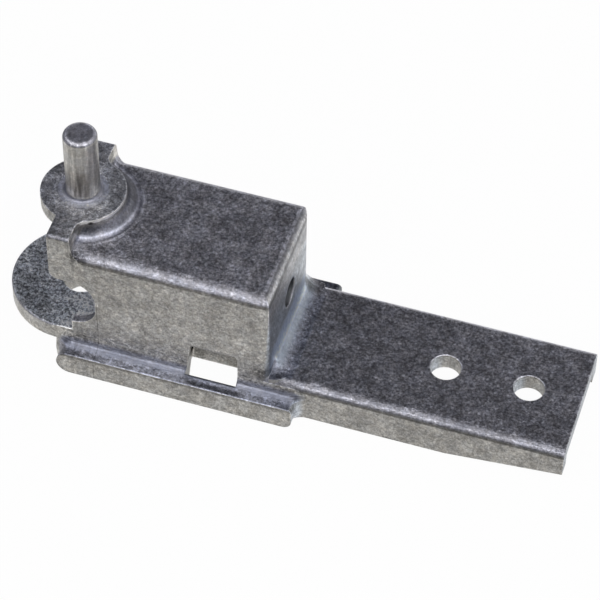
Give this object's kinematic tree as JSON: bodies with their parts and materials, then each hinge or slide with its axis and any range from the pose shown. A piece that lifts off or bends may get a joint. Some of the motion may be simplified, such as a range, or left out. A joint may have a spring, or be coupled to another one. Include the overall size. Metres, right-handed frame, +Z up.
{
  "type": "fridge door hinge",
  "caption": "Cast hinge bracket for a fridge door: an upright pin on a round platform, a hollow block with side rails, and a tongue with screw holes.",
  "frame": {"origin": "middle of the part's length and width, at the level of its underside", "axes": "+X along the tongue, away from the pin; +Y across the part, away from the slotted rail; +Z up along the pin"},
  "size_m": [0.1045, 0.0304, 0.046],
  "materials": {
    "cast_zinc": "bare tumbled zinc die casting, satin"
  },
  "bodies": {
    "root": {"hinge_body": "cast_zinc"}
  },
  "joints": []
}
